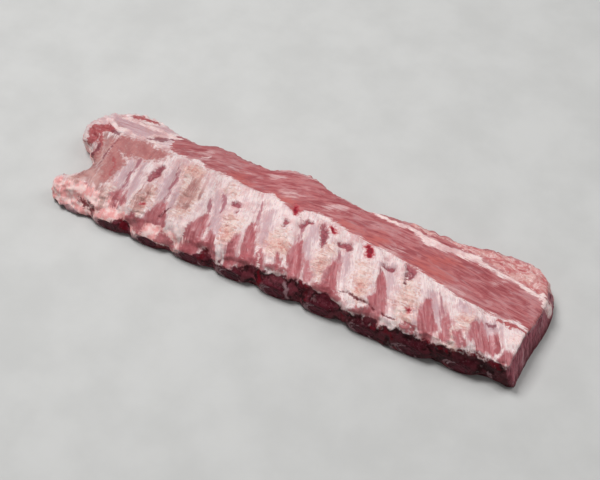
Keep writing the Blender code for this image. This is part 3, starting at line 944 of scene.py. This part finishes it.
def raw_pork():
    """Pale fascia, with fat, skin and meat over it where the mesh's marks say, each with its own grain, and
    painted light and shade where the marks say.
    """
    made, shader, start = new_finish("raw_pork")
    place = start.node("TexCoord", {}, {}, "Object")
    along_ribs, along_muscle = start.mark("rib_grain", "Vector"), start.mark("long_grain", "Vector")

    haze = place.lumps((0.010,) * 3)
    blush = place.lumps((0.0055,) * 3, 3.0, shift=7.0)
    speckle = place.lumps((0.0022,) * 3, 4.0)
    grit = place.lumps((0.0009,) * 3, 4.0)
    swirls = along_muscle.lumps((0.0130, 0.0070, 0.0080), 3.0, 0.5, shift=11.0, distortion=2.2)
    strands = along_ribs.lumps((0.0013, 0.011, 0.011), 5.0, 0.62, distortion=0.35)
    threads = along_ribs.lumps((0.0030, 0.017, 0.017), 4.0, 0.6, shift=5.0, distortion=0.7)
    wrinkles = along_ribs.lumps((0.0085, 0.0028, 0.0035), 4.0, 0.6, distortion=1.2)
    fibres = along_muscle.lumps((0.009, 0.0008, 0.0016), 6.0, 0.68, distortion=0.5)
    bundles = along_muscle.lumps((0.018, 0.0034, 0.0050), 4.0, 0.6, shift=3.0, distortion=1.1)
    veils = along_muscle.lumps((0.026, 0.0090, 0.0090), 4.0, 0.6, shift=9.0, distortion=1.4)

    def edge(name, noise, width=0.16, reach=0.7):
        """A mark with its edge torn up by a noise."""
        torn = noise.ease(0.30, 0.70) - 0.5
        mark = start.mark(name)
        return (mark + torn * reach).ease(0.5 - width, 0.5 + width) * mark.ease(0.0, 0.25)

    colour = haze.ease(0.44, 0.66).between(FASCIA_WHITE, FASCIA_PINK)
    colour = (threads.ease(0.52, 0.66) * 0.55).between(colour, SKIN_LILAC)
    colour = ((1 - strands.ease(0.30, 0.44)) * 0.5).between(colour, FASCIA_ROSE)
    colour = (threads.line(0.45, 0.018) * 0.5).between(colour, GROOVE)
    colour = (blush.ease(0.56, 0.68) * 0.4).between(colour, SKIN_LILAC)
    colour = (strands.ease(0.54, 0.68) * 0.8).between(colour, STRAND_WHITE)
    cream = blush.ease(0.40, 0.60).between(CREAM, TAN)
    folded = haze.ease(0.44, 0.56)
    cream = (haze.ease(0.46, 0.66) * 0.5).between(cream, DOME_WHITE)
    cream = (wrinkles.ease(0.50, 0.58) * (0.5 + 0.4 * folded)).between(cream, DOME_WHITE)
    cream = ((1 - wrinkles.ease(0.37, 0.46)) * (0.45 + 0.4 * folded)).between(cream, TAN_DEEP)
    cream = (wrinkles.line(0.42, 0.03) * folded * 0.45).between(cream, ORANGE)
    colour = (edge("fat_domes", speckle, 0.40, 0.9) * 0.85).between(colour, cream)
    orange = speckle.ease(0.42, 0.60).between(ORANGE, CREAM)
    colour = (edge("orange_tints", wrinkles, 0.25, 1.0) * 0.75).between(colour, orange)
    salmon = haze.ease(0.35, 0.62).between(SALMON, SALMON_PALE)
    salmon = (strands.ease(0.56, 0.70) * 0.5).between(salmon, FASCIA_WHITE)
    colour = (edge("tan_skin", threads, 0.35, 0.8) * 0.92).between(colour, salmon)
    skin = strands.ease(0.36, 0.58).between(SKIN_MAUVE, SKIN_LILAC)
    colour = (edge("rib_skin", strands, 0.30, 1.0) * 0.8).between(colour, skin)
    dusky = blush.ease(0.35, 0.65).between(DUSKY, DUSKY_PALE)
    dusky = (speckle.ease(0.56, 0.70) * 0.5).between(dusky, SALMON_PALE)
    dusky = ((1 - threads.ease(0.36, 0.50)) * 0.4).between(dusky, SALMON)
    colour = (edge("dusky_skin", speckle, 0.38, 0.6) * 0.96).between(colour, dusky)
    colour = (edge("rib_lines", strands, 0.25, 0.5) * 0.85).between(colour, GROOVE)
    rib_meat = strands.ease(0.34, 0.56).between(RIB_DARK, RIB_RED)
    rib_meat = (threads.ease(0.46, 0.62) * 0.6).between(rib_meat, RIB_PALE)
    rib_meat = (strands.ease(0.60, 0.70) * 0.5).between(rib_meat, FASCIA_PINK)
    veil = strands.ease(0.40, 0.60).between(RIB_PALE, FASCIA_PINK)
    colour = (edge("rib_meat", threads, 0.45, 0.9) * 0.75).between(colour, veil)
    torn = start.mark("rib_meat") + (strands - 0.5) * 1.5 + (speckle - 0.5) * 0.4
    colour = (torn.ease(0.36, 0.72) * 0.95).between(colour, rib_meat)
    colour = (torn.line(0.50, 0.10) * start.mark("rib_meat").ease(0.1, 0.4) * 0.35).between(colour, GROOVE)
    muscle = fibres.ease(0.34, 0.56).between(MUSCLE_DARK, MUSCLE)
    muscle = (veils.ease(0.48, 0.66) * 0.55).between(muscle, MUSCLE_VEIL)
    muscle = (bundles.ease(0.45, 0.66) * 0.6).between(muscle, MUSCLE_PALE)
    muscle = ((1 - bundles.ease(0.34, 0.50)) * 0.6).between(muscle, MUSCLE_DARK)
    muscle = (fibres.ease(0.57, 0.72) * 0.7).between(muscle, MUSCLE_PALE)
    muscle = (edge("flushes", bundles, 0.45, 0.8) * 0.7).between(muscle, MUSCLE_FLUSH)
    muscle = (fibres.ease(0.66, 0.76) * 0.5).between(muscle, FASCIA_WHITE)
    colour = edge("muscle", fibres, 0.14, 0.7).between(colour, muscle)
    # fat streaks, with painted highlights along the far edge's rim
    faint = edge("faint_fat_and_highlights", bundles, 0.45, 1.2) * (0.10 + 0.38 * fibres.ease(0.44, 0.60))
    colour = faint.between(colour, FASCIA_WHITE)
    trimmed = swirls.ease(0.38, 0.56).between(TRIMMED_RED, TRIMMED_PINK)
    trimmed = (haze.ease(0.50, 0.64) * 0.6).between(trimmed, TRIMMED_PALE)
    trimmed = (swirls.line(0.56, 0.022) * 0.7).between(trimmed, FAT_WHITE)
    trimmed = (speckle.ease(0.54, 0.66) * 0.35).between(trimmed, FASCIA_WHITE)
    colour = edge("trimmed", speckle, 0.2, 0.6).between(colour, trimmed)
    fresh = speckle.ease(0.42, 0.66).between(FRESH_RED, FRESH_PALE)
    colour = (edge("bare_meat", speckle, 0.25, 0.7) * 0.95).between(colour, fresh)
    white = haze.ease(0.45, 0.66).between(FAT_WHITE, FASCIA_PINK)
    white = (wrinkles.line(0.46, 0.03) * 0.5).between(white, MUSCLE_PALE)
    colour = edge("white_fat", fibres, 0.2, 0.6).between(colour, white)
    hollow = speckle.ease(0.40, 0.60).between(HOLLOW_RED, HOLLOW_PINK)
    colour = (edge("hollows", speckle, 0.40, 0.6) * 0.97).between(colour, hollow)
    colour = (edge("dark_spots", speckle, 0.30, 0.6) * 0.8).between(colour, SPOT_BROWN)
    colour = (edge("blood", speckle, 0.42, 0.6) * 0.9).between(colour, BLOOD_RIM)
    colour = (start.mark("blood") + (speckle - 0.5) * 0.7).ease(0.50, 0.85).between(colour, BLOOD_RED)
    colour = (start.mark("blood") + (speckle - 0.5) * 1.2).ease(0.82, 1.10).between(colour, SLIT_DARK)
    colour = (edge("slits", speckle, 0.40, 0.6) * 0.9).between(colour, SLIT_DARK)

    # painted shade: darkens the top towards the ragged end
    colour = (start.mark("painted_shade_left") * 0.12).between(colour, LEFT_SHADE_TONE)
    # painted light: bright flesh colours where the left end's shoulder and sawn face catch the light
    lit_flesh = blush.ease(0.40, 0.60).between(FLESH_RED_LIT, FLESH_PALE_LIT)
    lit_flesh = (strands.ease(0.55, 0.68) * 0.6).between(lit_flesh, STRAND_WHITE)
    colour = edge("lit_flesh", threads, 0.3, 0.8).between(colour, lit_flesh)
    lobe = speckle.ease(0.38, 0.66).between(RIB_DARK, RIB_RED)
    colour = (edge("lobes", speckle, 0.35, 0.6) * 0.9).between(colour, lobe)
    # painted shade: the sawn face is darker than its cut meat alone, and darker still towards the square end
    sawn = blush.ease(0.42, 0.60).between(WALL_DARK_SHADED, WALL_PINK)
    sawn = (haze.ease(0.52, 0.66) * 0.8).between(sawn, WALL_WINE)
    wine = speckle.ease(0.42, 0.62).between(WALL_WINE, WALL_PURPLE)
    sawn = (start.mark("wine") * 0.8).between(sawn, wine)
    sawn = (speckle.ease(0.52, 0.66) * 0.6).between(sawn, WALL_PINK)
    sawn = (grit.ease(0.60, 0.70) * 0.4).between(sawn, SINEW_PALE)
    sawn = (start.mark("deep") * 0.45).between(sawn, WALL_DARK_SHADED)
    sawn_end = strands.ease(0.40, 0.60).between(END_DARK, END_PURPLE)
    sawn_end = (threads.ease(0.52, 0.66) * 0.6).between(sawn_end, END_LILAC)
    # painted shade: the cut end darker towards the floor
    sawn_end = (start.mark("low") * 0.75).between(sawn_end, WALL_WINE)
    sawn = start.mark("sawn_end").between(sawn, sawn_end)
    colour = edge("sawn", blush, 0.22, 0.7).between(colour, sawn)
    # pale sinew streaks, with painted highlights in crescents left of the bones
    colour = (edge("sinew_and_lit_crescents", speckle, 0.35, 0.6) * 0.7).between(colour, SINEW_PALE)
    colour = (edge("crimson", speckle, 0.45, 1.2) * 0.9).between(colour, CRIMSON_WET)
    colour.feed(shader, "Base Color")

    red, cut = edge("muscle", fibres), start.mark("sawn")
    relief = fibres * red * 0.45 + strands * (1 - red) * 0.40 + grit * 0.14 + speckle * 0.25
    relief = relief + wrinkles * folded * start.mark("fat_domes") * 1.1 + swirls * start.mark("trimmed") * 0.9
    bumped = start.node("Bump", {}, {"Strength": 1.0, "Distance": 0.001, "Height": relief}, "Normal")
    bumped.feed(shader, "Normal")
    (0.30 + 0.24 * speckle + 0.15 * cut).feed(shader, "Roughness")
    ((1 - cut) * (0.05 + 0.25 * haze)).feed(shader, "Coat Weight")
    shader.inputs["Specular IOR Level"].default_value = 0.14
    shader.inputs["Coat Roughness"].default_value = 0.16
    shader.inputs["Subsurface Weight"].default_value = 0.12
    shader.inputs["Subsurface Radius"].default_value = (1.0, 0.35, 0.25)
    shader.inputs["Subsurface Scale"].default_value = 0.0012
    return made


meat_mesh = meat_block()
meat_sides = shape_meat(meat_mesh)
meat_marks, meat_relief = mark_meat(meat_mesh, meat_sides)
meat_normals = np.empty(len(meat_mesh.vertices) * 3, np.float32)
meat_mesh.vertex_normals.foreach_get("vector", meat_normals)
meat_places = places_of(meat_mesh) + meat_normals.reshape(-1, 3) * meat_relief[:, None] / 1000
meat_places = seat_bones(meat_places, ease((-0.85 - meat_sides[1]) / 0.1))
set_places(meat_mesh, np.clip(meat_places, np.array(cad_low), np.array(cad_high)))
for mark_name, mark_values in meat_marks.items():
    set_mark(meat_mesh, mark_name, mark_values)
meat_mesh.shade_smooth()
meat_mesh.materials.append(raw_pork())
meat = bpy.data.objects.new("rack_meat", meat_mesh)
bpy.context.scene.collection.objects.link(meat)
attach(meat, "root")
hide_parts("meat")


# ============================================================================= the sawn rib bones
# Nine flat ribs, sawn through along the front edge, each held in the meat by its own socket. The sawn face
# has dark spongy marrow with a thin pale rim of hard bone, drawn only on its left side as a painted
# highlight, and stands just proud of the meat.
BONE_LEAN = -0.04  # x gained for each metre inwards
BONE_CLIMB = 0.06
BONE_STEPS = (30, 30, 20)
MARROW_SINK = 0.0003
BONE_PALE_LIT = (0.34, 0.22, 0.24, 1)
BONE_SHADE = (0.1, 0.016, 0.028, 1)
MARROW_RED = (0.12, 0.012, 0.026, 1)
MARROW_DARK = (0.042, 0.001, 0.006, 1)


def bone_mesh(name):
    """A flat bar with an oval section, fitted to its own solid's box."""
    low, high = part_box(name)
    bm = bmesh.new()
    bmesh.ops.create_cube(bm, size=2)
    for axis, steps in enumerate(BONE_STEPS):
        split_along(bm, axis, steps)
    mesh = bpy.data.meshes.new(name + "_sawn")
    bm.to_mesh(mesh)
    bm.free()
    u, w, v = places_of(mesh).T  # across, inwards and up
    disc_u, disc_v = u * np.sqrt(1 - v * v / 2), v * np.sqrt(1 - u * u / 2)
    inward = 0.5 + 0.5 * w
    depth = high.y - low.y
    taper = 1.0 - 0.15 * inward - 0.30 * ease(inward * 4 - 3)
    middle = (high.x - BONE_HALF_WIDTH, low.z + BONE_HALF_HEIGHT)
    x = middle[0] + BONE_LEAN * depth * inward + disc_u * BONE_HALF_WIDTH * taper
    z = middle[1] + BONE_CLIMB * depth * inward + disc_v * BONE_HALF_HEIGHT * taper
    y = low.y + depth * inward
    radius = np.hypot(disc_u, disc_v)
    lump = cloud(x * 1000, y * 1000, z * 1000, 1.6, 41)
    face = ease((-0.9 - w) / 0.1)
    # painted highlight: the pale rim of hard bone shows only on the left, lit side of the sawn face
    pale_bone_lit_left = ease((radius - 0.80 + 0.08 * lump) / 0.14) * ease((0.0 - disc_u) / 0.5)
    y = y + face * (MARROW_SINK * (1 - pale_bone_lit_left) * (1 + 0.7 * lump) + 0.0004 * ease((radius - 0.93) / 0.07))
    set_places(mesh, np.clip(np.stack((x, y, z), 1), np.array(low), np.array(high)))
    set_mark(mesh, "pale_bone_lit_left", np.maximum(pale_bone_lit_left, 1 - face))
    mesh.shade_smooth()
    return mesh


def sawn_bone():
    """Pale bone with fine pits, its rim on the sawn face lit on the left as a painted highlight, and wet dark
    marrow inside it.
    """
    made, shader, start = new_finish("sawn_bone")
    place = start.node("TexCoord", {}, {}, "Object")
    pits = place.cells(0.0011)
    blotches = place.lumps((0.003,) * 3)
    pale_bone_lit_left = (start.mark("pale_bone_lit_left") + (blotches - 0.5) * 0.8).ease(0.35, 0.75)
    bone = blotches.ease(0.35, 0.62).between(BONE_SHADE, BONE_PALE_LIT)
    marrow = blotches.ease(0.40, 0.60).between(MARROW_DARK, MARROW_RED)
    marrow = (pits.ease(0.3, 0.7) * 0.35).between(marrow, BONE_SHADE)
    pale_bone_lit_left.between(marrow, bone).feed(shader, "Base Color")
    relief = pits * 0.35 + place.lumps((0.0006,) * 3) * 0.15
    bumped = start.node("Bump", {}, {"Strength": 0.7, "Distance": 0.001, "Height": relief}, "Normal")
    bumped.feed(shader, "Normal")
    (0.32 + 0.2 * blotches).feed(shader, "Roughness")
    shader.inputs["Specular IOR Level"].default_value = 0.12
    return made


bone_finish = sawn_bone()
for bone_number in range(1, RIB_COUNT + 1):
    bone_name = f"rib_bone_{bone_number:02d}"
    bone = bpy.data.objects.new(bone_name + "_sawn", bone_mesh(bone_name))
    bone.data.materials.append(bone_finish)
    bpy.context.scene.collection.objects.link(bone)
    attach(bone, "root")
    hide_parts(bone_name)


# ============================================================================= floor, light and camera
# A plain pale floor that isn't part of the rack, lit softly from above and behind it, so that the sawn
# front stays in shade. The camera looks down on the rack from the front right.
FLOOR_SIZE = 6.0
FLOOR_PALE = (0.58, 0.58, 0.57, 1)
FLOOR_DEEP = (0.53, 0.53, 0.52, 1)
LIGHTS = (  # (name, place, size, watts)
    ("key_light", (-0.46, 0.10, 1.20), 0.5, 12.0),
    ("side_light", (0.70, 0.50, 1.05), 0.7, 4.5),
)
AIM = Vector((0.0106, -0.0086, 0.0035))  # from the middle of the rack to the middle of the view
CAMERA_AZIMUTH = math.radians(26)
CAMERA_ELEVATION = math.radians(52)
CAMERA_DISTANCE = 0.6885
CAMERA_LENS = 60


def floor_finish():
    made, shader, start = new_finish("pale_floor")
    mottling = start.node("TexCoord", {}, {}, "Object").lumps((0.05,) * 3, 5.0)
    mottling.ease(0.3, 0.7).between(FLOOR_PALE, FLOOR_DEEP).feed(shader, "Base Color")
    shader.inputs["Roughness"].default_value = 0.65
    return made


bm = bmesh.new()
bmesh.ops.create_grid(bm, x_segments=1, y_segments=1, size=FLOOR_SIZE / 2)
floor_mesh = bpy.data.meshes.new("floor")
bm.to_mesh(floor_mesh)
bm.free()
floor_mesh.materials.append(floor_finish())
floor = bpy.data.objects.new("floor", floor_mesh)
bpy.context.scene.collection.objects.link(floor)

rack_middle = (cad_low + cad_high) / 2
for light_name, light_place, light_size, watts in LIGHTS:
    data = bpy.data.lights.new(light_name, "AREA")
    data.size = light_size
    data.energy = watts
    light = bpy.data.objects.new(light_name, data)
    light.location = light_place
    light.rotation_euler = (rack_middle - light.location).to_track_quat("-Z", "Y").to_euler()
    bpy.context.scene.collection.objects.link(light)

world = bpy.data.worlds.new("soft_room")
world.use_nodes = True
world.node_tree.nodes["Background"].inputs["Color"].default_value = (1, 1, 1, 1)
world.node_tree.nodes["Background"].inputs["Strength"].default_value = 0.25
bpy.context.scene.world = world
bpy.context.scene.view_settings.view_transform = "Standard"

camera_data = bpy.data.cameras.new("camera")
camera_data.lens = CAMERA_LENS
camera = bpy.data.objects.new("camera", camera_data)
backwards = Vector(
    (
        math.sin(CAMERA_AZIMUTH) * math.cos(CAMERA_ELEVATION),
        -math.cos(CAMERA_AZIMUTH) * math.cos(CAMERA_ELEVATION),
        math.sin(CAMERA_ELEVATION),
    )
)
camera.location = rack_middle + AIM + backwards * CAMERA_DISTANCE
camera.rotation_euler = backwards.to_track_quat("Z", "Y").to_euler()
bpy.context.scene.collection.objects.link(camera)
bpy.context.scene.camera = camera
